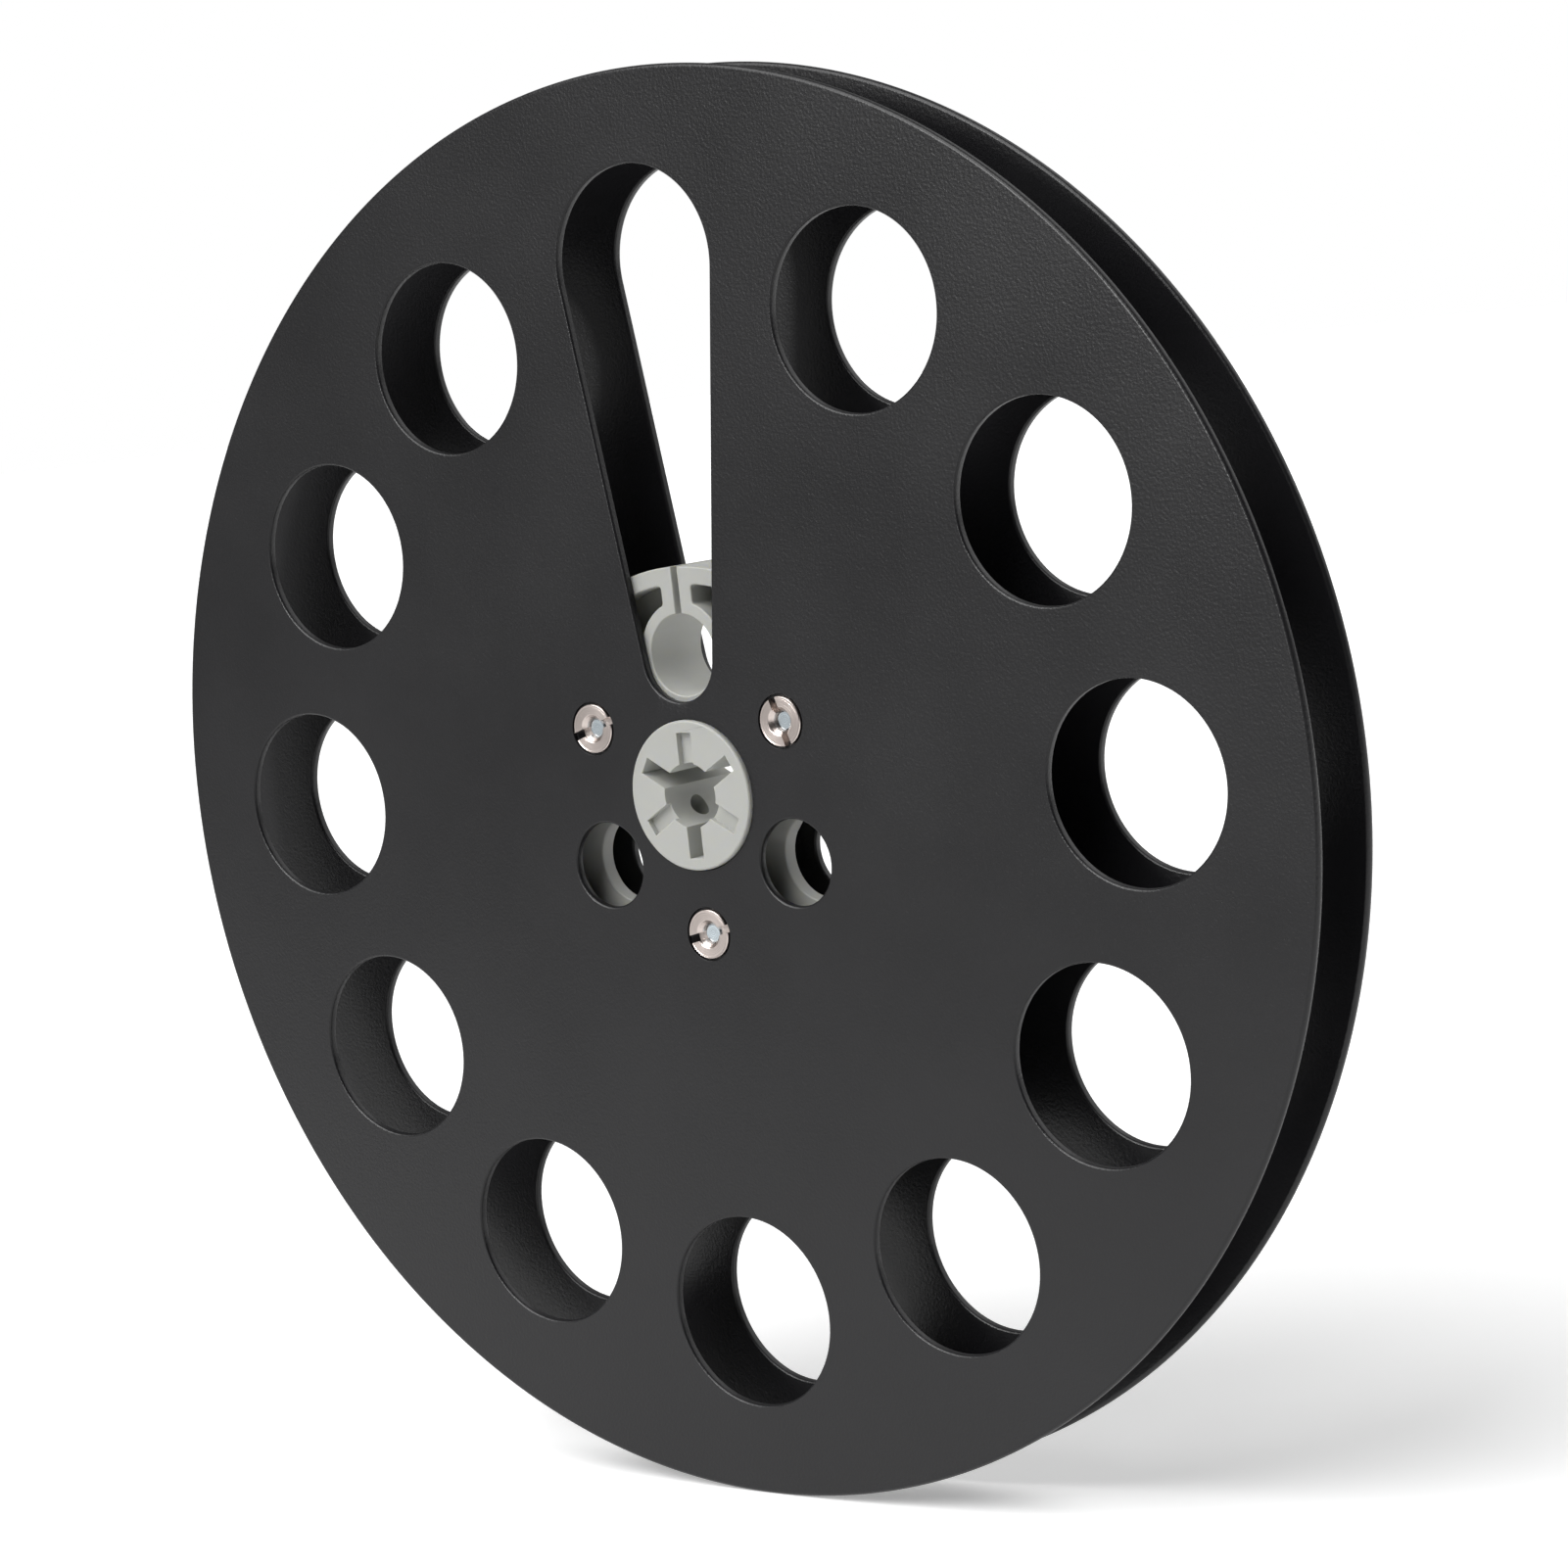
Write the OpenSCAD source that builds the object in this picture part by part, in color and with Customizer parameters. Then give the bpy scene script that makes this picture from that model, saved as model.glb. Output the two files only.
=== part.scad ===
// Small audio tape reel: two pierced flanges clamped to a moulded hub by three sleeve nuts and screws.
// The reel stands upright on its rim. Its spin axis is Y through the middle of the spindle bore, its
// front looks along -Y and the keyhole in its flanges points up, along +Z. Sizes are in millimetres.

/* [Flanges] */
// Outside diameter of both flanges
flange_d = 178; // [160:1:200]
// Thickness of each flange plate
flange_t = 1.2; // [1:0.1:2]
// Clear width for the tape between the flanges
flange_gap = 9.8; // [8:0.1:12]
// Radius on the two edges of a flange's rim
outer_edge_r = 0.5; // [0.2:0.05:0.55]
// Radius on the edges of a flange's windows and round holes
edge_r = 0.3; // [0.1:0.05:0.4]

/* [Windows] */
// Places round the ring of windows, the keyhole's included
window_count = 12; // [8:1:12]
// Diameter of a window and of the keyhole's wide end
window_d = 24.2; // [18:0.1:28]
// Solid band between the windows and the rim
window_band = 11.4; // [6:0.1:16]

/* [Keyhole] */
// Diameter of the keyhole's narrow end
keyhole_end_d = 10.8; // [9:0.1:12]
// How far the narrow end's centre lies inside the top tube's centre
keyhole_inset = 0.35; // [0:0.05:0.8]

/* [Hub] */
// Diameter that the tape winds on
hub_d = 56.5; // [54:0.5:64]
// Wall of the hub's outer rim
rim_wall = 2.2; // [1.6:0.1:3]
// Radius on the outer edges of that rim
rim_edge_r = 0.2; // [0.1:0.05:0.4]
// Diameter of the boss that goes through both flanges
boss_d = 18.8; // [17.4:0.1:19.6]
// How far the boss stands out of each flange
boss_rise = 0.55; // [0.2:0.05:1.2]
// Radius on the boss's edge
boss_edge_r = 0.3; // [0.1:0.05:0.5]
// Play between the boss and a flange's centre hole, on the radius
boss_play = 0.1; // [0.05:0.05:0.2]
// Thickness of the web halfway along the hub
web_t = 2.1; // [1.5:0.1:4]

/* [Tube and round holes] */
// Bore of the tube at 12 o'clock
tube_bore_d = 10.2; // [9:0.1:10.6]
// Wall of the tube
tube_wall = 1.6; // [1.2:0.1:2]
// Distance between the boss and the tube's bore
tube_gap = 2.8; // [2.2:0.1:3.4]
// Radius on the mouths of the tube and of the web's holes
tube_mouth_r = 0.25; // [0.1:0.05:0.4]
// Diameter of the flange holes at 4 and 8 o'clock
flange_hole_d = 10.8; // [10:0.1:12]
// Diameter of the web's holes behind them
web_hole_d = 11; // [10:0.1:12]
// Width of the stem that joins the tube to the rim
stem_w = 4.8; // [3.6:0.1:6]
// Radius in the corners beside the stem
stem_fillet_r = 0.5; // [0.3:0.05:0.8]
// Width of the slit through the stem, for the end of the tape
slit_w = 0.9; // [0.6:0.05:1.2]

/* [Spindle hole] */
// Diameter of the spindle bore
bore_d = 8.1; // [7.9:0.05:8.5]
// Width of the slots for the spindle's tabs
tab_slot_w = 2.2; // [1.7:0.05:2.4]
// Diameter across the outer ends of those slots
tab_slot_d = 15.7; // [14:0.1:16.4]
// Depth of the three blind slots in each boss face
blind_slot_depth = 0.8; // [0.4:0.1:1.5]
// Diameter of the radial holes in the bore's wall
side_hole_d = 2.9; // [2:0.1:3.4]
// Depth of a radial hole from the bore's wall
side_hole_depth = 3.4; // [2:0.1:4]
// Distance of the radial holes from the boss's front face
side_hole_drop = 5.7; // [3.5:0.1:8]

/* [Fasteners] */
// Diameter of the circle that the three fasteners lie on
clamp_ring_d = 34.9; // [33:0.1:37]
// Play between the cone of a head and its seat
seat_play = 0.03; // [0.02:0.01:0.1]
// Head diameter of a sleeve nut
nut_head_d = 6.2; // [5.8:0.1:6.8]
// Straight edge of a nut's head, above its cone
nut_land = 0.6; // [0.4:0.05:0.7]
// How far a nut's head stands out of the flange's face
nut_rise = 0.1; // [0:0.05:0.2]
// Width of the groove between a nut's head and the flange
nut_groove_w = 0.3; // [0.1:0.05:0.4]
// Diameter of a nut's sleeve
nut_sleeve_d = 4.4; // [4:0.1:4.8]
// Distance from a nut's end to the rear flange
nut_end_gap = 1.8; // [1:0.1:4]
// Width of the slot across a nut's head
nut_slot_w = 1; // [0.8:0.1:1.4]
// Depth of that slot
nut_slot_depth = 1.2; // [0.6:0.1:1.4]
// Diameter of the cone at a nut's mouth
nut_mouth_d = 3.6; // [3:0.1:4]
// Bevel on the edge of a nut's head
nut_bevel = 0.1; // [0.05:0.01:0.14]
// Diameter of the clamp screw's thread
thread_d = 2.5; // [2:0.1:2.8]
// Play between the thread and the nut, on the radius
thread_play = 0.03; // [0.02:0.01:0.08]
// Head diameter of a clamp screw
screw_head_d = 4.8; // [4.4:0.1:5.6]
// Straight edge of a screw's head, above its cone
screw_land = 0.15; // [0.1:0.05:0.3]
// How deep a screw's head lies below the flange's face
screw_sink = 0.1; // [0:0.05:0.3]
// Width of the groove between a screw's head and the flange
screw_groove_w = 0.1; // [0.1:0.05:0.4]
// How far a screw's end stays below the nut's face
screw_end_drop = 1; // [0.6:0.1:3]
// Bevel on a screw's end
screw_bevel = 0.2; // [0.1:0.05:0.4]
// Length of the cross recess in a screw's head
recess_l = 2.6; // [2:0.1:3]
// Width of that recess
recess_w = 0.7; // [0.5:0.05:0.9]
// Depth of that recess
recess_depth = 1; // [0.6:0.1:1.2]
// Play round a nut's sleeve in its post
post_play = 0.15; // [0.1:0.05:0.3]
// Wall of the post round a nut's sleeve
post_wall = 1.85; // [1.2:0.05:2.4]

/* [Hidden] */
$fn = 96;

// Directions seen from the front, counted anticlockwise from 3 o'clock
top_turn = 90;
third_turn = 120;
hole_turns = [for (i = [0 : 2]) top_turn + i * third_turn];
clamp_turns = [for (i = [0 : 2]) top_turn + third_turn / 2 + i * third_turn];
// How each nut's slot happened to stop when the nut was tightened
nut_slot_turns = [18, 13, 108];

flange_r = flange_d / 2;
reel_w = flange_gap + 2 * flange_t;
boss_w = reel_w + 2 * boss_rise;
flange_z = (flange_gap + flange_t) / 2;

window_r = window_d / 2;
window_ring_r = flange_r - window_band - window_r;
window_step = 360 / window_count;

hub_r = hub_d / 2;
rim_inner_r = hub_r - rim_wall;
boss_r = boss_d / 2;
bore_r = bore_d / 2;
tube_r = tube_bore_d / 2;
tube_outer_r = tube_r + tube_wall;
tube_ring_r = boss_r + tube_gap + tube_r;
keyhole_end_r = keyhole_end_d / 2;
keyhole_end_y = tube_ring_r - keyhole_inset;

clamp_ring_r = clamp_ring_d / 2;
nut_head_r = nut_head_d / 2;
sleeve_r = nut_sleeve_d / 2;
nut_mouth_r = nut_mouth_d / 2;
thread_r = thread_d / 2;
nut_bore_r = thread_r + thread_play;
screw_head_r = screw_head_d / 2;
nut_l = reel_w - flange_t - nut_end_gap + nut_rise;
screw_l = reel_w - screw_sink + nut_rise - screw_end_drop;
post_hole_r = sleeve_r + post_play;
post_r = post_hole_r + post_wall;

// Cutters run this far past what they cut
over = 1;
// Chords in a rounded edge
edge_steps = 4;

// Points of a quarter circle about (cx, cy), from one angle to another
function arc(cx, cy, r, from, to) =
    [for (i = [0 : edge_steps])
        let (a = from + (to - from) * i / edge_steps) [cx + r * cos(a), cy + r * sin(a)]];

// Cross-section of a cut through a plate, whose wall is at x = wall and whose edges are rounded
function cut_section(inner, wall, thickness, r) = concat(
    [[inner, -thickness / 2 - over], [wall + r, -thickness / 2 - over]],
    arc(wall + r, r - thickness / 2, r, 270, 180),
    arc(wall + r, thickness / 2 - r, r, 180, 90),
    [[wall + r, thickness / 2 + over], [inner, thickness / 2 + over]]);

// Stands the reel up, from lying with its front face up
module upright() rotate([90, 0, 0]) children();

// Puts a child on a circle without turning it
module on_ring(turn, ring_r) translate([ring_r * cos(turn), ring_r * sin(turn), 0]) children();

// Straight cut through a plate centred on z = 0, with rounded edges
module round_cut(r, thickness, rounding) {
    rotate_extrude() polygon(cut_section(0, r, thickness, rounding));
}

// Keyhole cut: a window and a smaller hole below it, joined by two straight flanks
module keyhole_cut() {
    reach = window_ring_r - keyhole_end_y;
    lean = asin((window_r - keyhole_end_r) / reach);
    flank_l = reach * cos(lean);
    wide = [window_r * cos(lean), window_ring_r - window_r * sin(lean)];
    narrow = [keyhole_end_r * cos(lean), keyhole_end_y - keyhole_end_r * sin(lean)];
    translate([0, window_ring_r, 0]) round_cut(window_r, flange_t, edge_r);
    translate([0, keyhole_end_y, 0]) round_cut(keyhole_end_r, flange_t, edge_r);
    linear_extrude(flange_t + 2 * over, center = true)
        polygon([narrow, wide, [-wide.x, wide.y], [-narrow.x, narrow.y]]);
    for (side = [0, 1]) mirror([side, 0, 0])
        translate([wide.x, wide.y, 0]) rotate([0, 0, -lean]) rotate([90, 0, 0])
            linear_extrude(flank_l) polygon(cut_section(-keyhole_end_r / 2, 0, flange_t, edge_r));
}

// Room for a fastener in a flange whose outer face is at z = 0: a straight sink, then a cone to the shank
module head_seat(head_r, shank_r, sink_r, sink_depth) {
    cone = head_r + seat_play;
    shank = shank_r + seat_play;
    rotate_extrude() polygon([[0, over], [sink_r, over], [sink_r, -sink_depth], [cone, -sink_depth],
                              [shank, shank - cone - sink_depth], [shank, -reel_w], [0, -reel_w]]);
}

// The seats of the three nuts, in the reel's place
module nut_seats() {
    for (turn = clamp_turns) on_ring(turn, clamp_ring_r) translate([0, 0, reel_w / 2])
        head_seat(nut_head_r, sleeve_r, nut_head_r + nut_groove_w, nut_land - nut_rise);
}

// The seats of the three screws, in the reel's place
module screw_seats() {
    for (turn = clamp_turns) on_ring(turn, clamp_ring_r) translate([0, 0, -reel_w / 2])
        rotate([180, 0, 0])
            head_seat(screw_head_r, thread_r, screw_head_r + screw_groove_w, screw_land + screw_sink);
}

// Pierced flange plate centred on z = 0, the same at the front and at the rear
module flange_plate() {
    rim_section = concat([[0, -flange_t / 2]],
        arc(flange_r - outer_edge_r, outer_edge_r - flange_t / 2, outer_edge_r, -90, 0),
        arc(flange_r - outer_edge_r, flange_t / 2 - outer_edge_r, outer_edge_r, 0, 90),
        [[0, flange_t / 2]]);
    difference() {
        rotate_extrude() polygon(rim_section);
        for (i = [1 : window_count - 1]) on_ring(top_turn + i * window_step, window_ring_r)
            round_cut(window_r, flange_t, edge_r);
        keyhole_cut();
        cylinder(r = boss_r + boss_play, h = flange_t + 2 * over, center = true);
        for (i = [1, 2]) on_ring(hole_turns[i], tube_ring_r)
            round_cut(flange_hole_d / 2, flange_t, edge_r);
    }
}

module front_flange() {
    color([0.17, 0.17, 0.18]) upright() difference() {
        translate([0, 0, flange_z]) flange_plate();
        nut_seats();
    }
}

module rear_flange() {
    color([0.14, 0.14, 0.15]) upright() difference() {
        translate([0, 0, -flange_z]) flange_plate();
        screw_seats();
    }
}

// Boss with rounded edges, through both flanges
module boss() {
    half = boss_w / 2;
    rotate_extrude() polygon(concat([[0, -half]],
        arc(boss_r - boss_edge_r, boss_edge_r - half, boss_edge_r, -90, 0),
        arc(boss_r - boss_edge_r, half - boss_edge_r, boss_edge_r, 0, 90),
        [[0, half]]));
}

// Rim that the tape winds on
module hub_rim() {
    half = flange_gap / 2;
    rotate_extrude() polygon(concat([[rim_inner_r, -half]],
        arc(hub_r - rim_edge_r, rim_edge_r - half, rim_edge_r, -90, 0),
        arc(hub_r - rim_edge_r, half - rim_edge_r, rim_edge_r, 0, 90),
        [[rim_inner_r, half]]));
}

// Outline of the tube with its stem up to the rim and fillets in their corners, along +X
module tube_outline() {
    half = stem_w / 2;
    f = stem_fillet_r;
    rim_x = sqrt(pow(rim_inner_r, 2) - pow(half + f, 2));
    foot_x = tube_ring_r + sqrt(pow(tube_outer_r + f, 2) - pow(half + f, 2));
    touch = tube_outer_r / (tube_outer_r + f);
    touch_x = tube_ring_r + (foot_x - tube_ring_r) * touch;
    touch_y = (half + f) * touch;
    translate([tube_ring_r, 0]) circle(tube_outer_r);
    translate([tube_ring_r, -half]) square([rim_inner_r + rim_wall / 2 - tube_ring_r, stem_w]);
    for (side = [0, 1]) mirror([0, side]) {
        difference() {
            translate([rim_x - f, 0]) square([f + rim_wall / 2, half + f]);
            translate([rim_x - f, half + f]) circle(f);
        }
        difference() {
            polygon([[foot_x, 0], [foot_x, half + f], [touch_x, touch_y], [touch_x, 0]]);
            translate([foot_x, half + f]) circle(f);
        }
    }
}

// One of the six slots round the bore, from the axis out to its end, on +X
module tab_slot(depth) {
    translate([0, -tab_slot_w / 2, -depth]) cube([tab_slot_d / 2, tab_slot_w, depth + over]);
}

// Moulding that holds both flanges: boss, rim and web, with the tube on its stem and three clamp posts
module hub() {
    color([0.75, 0.77, 0.74]) upright() difference() {
        union() {
            boss();
            hub_rim();
            cylinder(r = hub_r - rim_wall / 2, h = web_t, center = true);
            rotate([0, 0, top_turn]) linear_extrude(flange_gap, center = true) tube_outline();
            for (turn = clamp_turns) on_ring(turn, clamp_ring_r)
                cylinder(r = post_r, h = flange_gap, center = true);
        }
        on_ring(top_turn, tube_ring_r) round_cut(tube_r, flange_gap, tube_mouth_r);
        for (i = [1, 2]) on_ring(hole_turns[i], tube_ring_r)
            round_cut(web_hole_d / 2, web_t, tube_mouth_r);
        translate([-slit_w / 2, tube_ring_r, -boss_w / 2]) cube([slit_w, hub_r, boss_w]);
        cylinder(r = bore_r, h = boss_w + 2 * over, center = true);
        for (turn = clamp_turns) {
            rotate([0, 0, turn]) translate([0, 0, boss_w / 2]) tab_slot(boss_w + over);
            on_ring(turn, clamp_ring_r) cylinder(r = post_hole_r, h = boss_w, center = true);
        }
        for (turn = hole_turns, face = [0, 1]) mirror([0, 0, face])
            rotate([0, 0, turn]) translate([0, 0, boss_w / 2]) tab_slot(blind_slot_depth);
        for (turn = hole_turns) rotate([0, 0, turn])
            translate([0, 0, boss_w / 2 - side_hole_drop]) rotate([0, 90, 0])
                cylinder(d = side_hole_d, h = bore_r + side_hole_depth);
        nut_seats();
        screw_seats();
    }
}

// Slotted sleeve nut, its head in the front flange and its sleeve in a post of the hub
module sleeve_nut(i) {
    mouth_depth = nut_mouth_r - nut_bore_r;
    cone_z = -nut_land - nut_head_r + sleeve_r;
    section = [[nut_mouth_r, 0], [nut_head_r - nut_bevel, 0], [nut_head_r, -nut_bevel],
               [nut_head_r, -nut_land], [sleeve_r, cone_z], [sleeve_r, -nut_l],
               [nut_bore_r, -nut_l], [nut_bore_r, -mouth_depth]];
    color([0.79, 0.73, 0.71]) upright() on_ring(clamp_turns[i], clamp_ring_r)
        translate([0, 0, reel_w / 2 + nut_rise]) difference() {
            rotate_extrude() polygon(section);
            rotate([0, 0, nut_slot_turns[i]])
                translate([-nut_head_d, -nut_slot_w / 2, -nut_slot_depth])
                    cube([2 * nut_head_d, nut_slot_w, nut_slot_depth + over]);
        }
}

// Cross recess that narrows towards its bottom, below z = 0
module cross_recess() {
    intersection() {
        for (turn = [0, 90]) rotate([0, 0, turn]) translate([0, 0, -recess_depth / 2])
            cube([recess_l, recess_w, recess_depth + over], center = true);
        translate([0, 0, -recess_depth])
            cylinder(r1 = recess_w / 2, r2 = recess_l / 2 + over, h = recess_depth + over);
    }
}

// Countersunk clamp screw, its head in the rear flange and its thread in the nut
module clamp_screw(i) {
    cone_z = -screw_land - screw_head_r + thread_r;
    section = [[0, 0], [screw_head_r, 0], [screw_head_r, -screw_land], [thread_r, cone_z],
               [thread_r, screw_bevel - screw_l], [thread_r - screw_bevel, -screw_l], [0, -screw_l]];
    color([0.72, 0.75, 0.78]) upright() on_ring(clamp_turns[i], clamp_ring_r)
        translate([0, 0, screw_sink - reel_w / 2]) rotate([180, 0, 0]) difference() {
            rotate_extrude() polygon(section);
            cross_recess();
        }
}

front_flange();
rear_flange();
hub();
sleeve_nut(0);  // sleeve_nut_1
sleeve_nut(1);  // sleeve_nut_2
sleeve_nut(2);  // sleeve_nut_3
clamp_screw(0);  // clamp_screw_1
clamp_screw(1);  // clamp_screw_2
clamp_screw(2);  // clamp_screw_3
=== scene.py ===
"""Dresses a small audio tape reel: two black plates, a moulded hub, and its nuts and screws."""

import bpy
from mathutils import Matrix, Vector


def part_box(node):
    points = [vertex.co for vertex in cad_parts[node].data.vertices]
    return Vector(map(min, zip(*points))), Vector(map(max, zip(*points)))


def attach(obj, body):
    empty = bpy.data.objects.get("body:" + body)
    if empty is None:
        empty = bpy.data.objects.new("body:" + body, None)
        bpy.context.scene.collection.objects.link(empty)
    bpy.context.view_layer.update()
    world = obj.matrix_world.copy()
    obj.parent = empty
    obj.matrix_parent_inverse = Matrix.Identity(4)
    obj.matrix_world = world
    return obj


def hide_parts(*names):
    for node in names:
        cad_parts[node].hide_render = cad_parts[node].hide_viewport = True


bl_info = {
    "name": "Audio Tape Reel",
    "version": (1, 0, 0),
    "blender": (4, 5, 0),
    "location": "3D View > Sidebar > Reel",
    "description": "Builds the plates, hub and fasteners of a small tape reel round its packed frame",
    "category": "Object",
}

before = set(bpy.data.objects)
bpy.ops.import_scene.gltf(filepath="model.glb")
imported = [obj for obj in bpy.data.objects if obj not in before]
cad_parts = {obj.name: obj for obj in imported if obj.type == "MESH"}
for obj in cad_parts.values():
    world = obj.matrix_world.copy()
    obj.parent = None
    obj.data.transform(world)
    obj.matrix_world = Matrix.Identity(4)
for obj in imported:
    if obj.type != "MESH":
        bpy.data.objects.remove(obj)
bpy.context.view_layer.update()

from math import asin, atan2, cos, pi, radians, sin, sqrt
from types import SimpleNamespace

import bmesh
import bpy
from bpy.props import FloatProperty, FloatVectorProperty, IntProperty, PointerProperty
from mathutils import Euler, Matrix, Vector

# Shapes are modelled lying down in millimetres, front face up, and stood up in metres at the end
MM = 0.001
UPRIGHT = Matrix.Rotation(radians(90), 4, "X") @ Matrix.Scale(MM, 4)
BODY = "root"

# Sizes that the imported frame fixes
PLATE_LOW, PLATE_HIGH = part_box("front_flange")
HUB_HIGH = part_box("hub")[1]
NUT_LOW, NUT_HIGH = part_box("sleeve_nut_1")
SCREW_LOW, SCREW_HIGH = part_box("clamp_screw_1")
PAIRS = ("1", "2", "3")
# How each nut's slot happened to stop when the nut was tightened, in degrees
NUT_SLOT_TURNS = (18, 13, 108)

# Directions seen from the front, counted anticlockwise from 3 o'clock
TOP_TURN = radians(90)
THIRD_TURN = radians(120)
BLIND_TURNS = [TOP_TURN + i * THIRD_TURN for i in range(3)]
HOLE_TURNS = BLIND_TURNS[1:]
CLAMP_TURNS = [TOP_TURN + THIRD_TURN / 2 + i * THIRD_TURN for i in range(3)]
# The windows stand at every hour but the twelfth, which is the keyhole's
WINDOW_TURNS = [TOP_TURN + i * radians(30) for i in range(1, 12)]

# Segments round the circles that the settings leave out
BOSS_SEGMENTS = 128
WEB_HOLE_SEGMENTS = 84
POST_SEGMENTS = 72
POST_HOLE_SEGMENTS = 48
SIDE_HOLE_SEGMENTS = 48
NUT_SEGMENTS = 96
SCREW_SEGMENTS = 64
# Length of one step of an arc on the hub, and the fewest steps of any arc
RIM_CHORD = 0.84
TUBE_CHORD = 0.42
FINE_CHORD = 0.2
LEAST_STEPS = 3

# Kinds of area in the hub's cross-section
RING, WEB, BOSS, BLIND_SLOT = 1, 2, 3, 4
# How wide the floor of a screw's recess is, as a share of its mouth
RECESS_TAPER = 0.3

# Edges that turn by more than this stay sharp in the shading
SHARP_ANGLE = radians(38)
# Faces that turn by less than this lie in one plane
FLAT_ANGLE = radians(0.5)
# Points this near to a level lie on it
FLAT_TOLERANCE = 0.001
# Points this near to each other become one
WELD_DISTANCE = 0.002

# Values between which most of a noise texture lies
NOISE_RANGE = (0.3, 0.7)
# Cosines of the angle to the dim direction between which the studio darkens
STUDIO_FADE = (0.2, 0.9)
# Distances in front of the reel between which the floor darkens, in metres
FLOOR_FADE = (0.1, 0.5)
TOWARDS_FRONT = (0, -1, 0)


def length(name, description, default):
    """A length property in metres."""
    return FloatProperty(name=name, description=description, default=default, min=0, precision=5,
                         unit="LENGTH")


def colour(name, description, default):
    """A colour property."""
    return FloatVectorProperty(name=name, description=description, default=default, size=3, min=0, max=1,
                               subtype="COLOR")


def turn_of(name, description, default):
    """An angle property, with its default in degrees."""
    return FloatProperty(name=name, description=description, default=radians(default), subtype="ANGLE")


def direction(name, description, default):
    """A direction property."""
    return FloatVectorProperty(name=name, description=description, default=default, size=3,
                               subtype="DIRECTION")


def strength(name, description, default):
    """A property for the strength of a light."""
    return FloatProperty(name=name, description=description, default=default, min=0)


def fraction(name, description, default):
    """A property between nothing and the whole."""
    return FloatProperty(name=name, description=description, default=default, min=0, max=1,
                         subtype="FACTOR")


def count(name, description, default, least):
    """A whole number property."""
    return IntProperty(name=name, description=description, default=default, min=least)


class ReelPlates(bpy.types.PropertyGroup):
    """Sizes of the two pierced plates."""
    outside_r: length("Outside radius", "Radius of both plates", max(PLATE_HIGH.x, PLATE_HIGH.z))
    thickness: length("Thickness", "Thickness of each plate", PLATE_HIGH.y - PLATE_LOW.y)
    face: length("Face", "Distance of a plate's outer face from the reel's middle", -PLATE_LOW.y)
    outer_edge_r: length("Outer edge radius", "Radius on the two edges of the rim", 0.5 * MM)
    edge_r: length("Edge radius", "Radius on the edges of the windows and round holes", 0.3 * MM)
    fine_edge_r: length("Fine edge radius", "Radius on the edge of the centre hole", 0.1 * MM)
    window_r: length("Window radius", "Radius of a window and of the keyhole's wide end", 12.1 * MM)
    window_band: length("Window band", "Solid band between the windows and the rim", 11.4 * MM)
    keyhole_end_r: length("Keyhole end radius", "Radius of the keyhole's narrow end", 5.4 * MM)
    keyhole_inset: length("Keyhole inset", "How far that end's centre lies inside the top tube's",
                          0.35 * MM)
    round_hole_r: length("Round hole radius", "Radius of the holes at 4 and 8 o'clock", 5.4 * MM)
    boss_play: length("Boss play", "Play between the boss and the centre hole", 0.1 * MM)
    seat_play: length("Seat play", "Play between a fastener's cone and its seat", 0.03 * MM)


class ReelHub(bpy.types.PropertyGroup):
    """Sizes of the moulded hub."""
    outside_r: length("Outside radius", "Radius that the tape winds on", HUB_HIGH.x)
    boss_face: length("Boss face", "Distance of a boss face from the reel's middle", HUB_HIGH.y)
    rim_wall: length("Rim wall", "Wall of the outer rim", 2.2 * MM)
    boss_r: length("Boss radius", "Radius of the boss", 9.4 * MM)
    web_t: length("Web thickness", "Thickness of the web halfway along the hub", 2.1 * MM)
    web_hole_r: length("Web hole radius", "Radius of the web's holes at 4 and 8 o'clock", 5.5 * MM)
    boss_edge_r: length("Boss edge radius", "Radius on the boss's edge", 0.3 * MM)
    body_edge_r: length("Body edge radius", "Radius on the edges of the rim, tube and posts", 0.2 * MM)
    slot_edge_r: length("Slot edge radius", "Radius on the edges of the bore and its slots", 0.07 * MM)
    tube_bore_r: length("Tube bore radius", "Bore of the tube at 12 o'clock", 5.1 * MM)
    tube_wall: length("Tube wall", "Wall of the tube", 1.6 * MM)
    tube_gap: length("Tube gap", "Distance between the boss and the tube's bore", 2.8 * MM)
    stem_w: length("Stem width", "Width of the stem between the tube and the rim", 4.8 * MM)
    stem_fillet_r: length("Stem fillet radius", "Radius in the corners beside the stem", 0.5 * MM)
    slit_w: length("Slit width", "Width of the slit for the end of the tape", 0.9 * MM)
    bore_r: length("Bore radius", "Radius of the spindle bore", 4.05 * MM)
    tab_slot_w: length("Tab slot width", "Width of the slots for the spindle's tabs", 2.2 * MM)
    tab_slot_end: length("Tab slot end", "Distance of a slot's outer end from the axis", 7.85 * MM)
    blind_slot_depth: length("Blind slot depth", "Depth of the blind slots in each boss face", 0.8 * MM)
    side_hole_r: length("Side hole radius", "Radius of the holes in the bore's wall", 1.45 * MM)
    side_hole_depth: length("Side hole depth", "Depth of those holes from the bore's wall", 3.4 * MM)
    side_hole_drop: length("Side hole drop", "Distance of those holes from the front boss face",
                           5.7 * MM)
    post_hole_r: length("Post hole radius", "Radius of the hole in a clamp post", 2.35 * MM)
    post_wall: length("Post wall", "Wall of a clamp post", 1.85 * MM)


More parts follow.
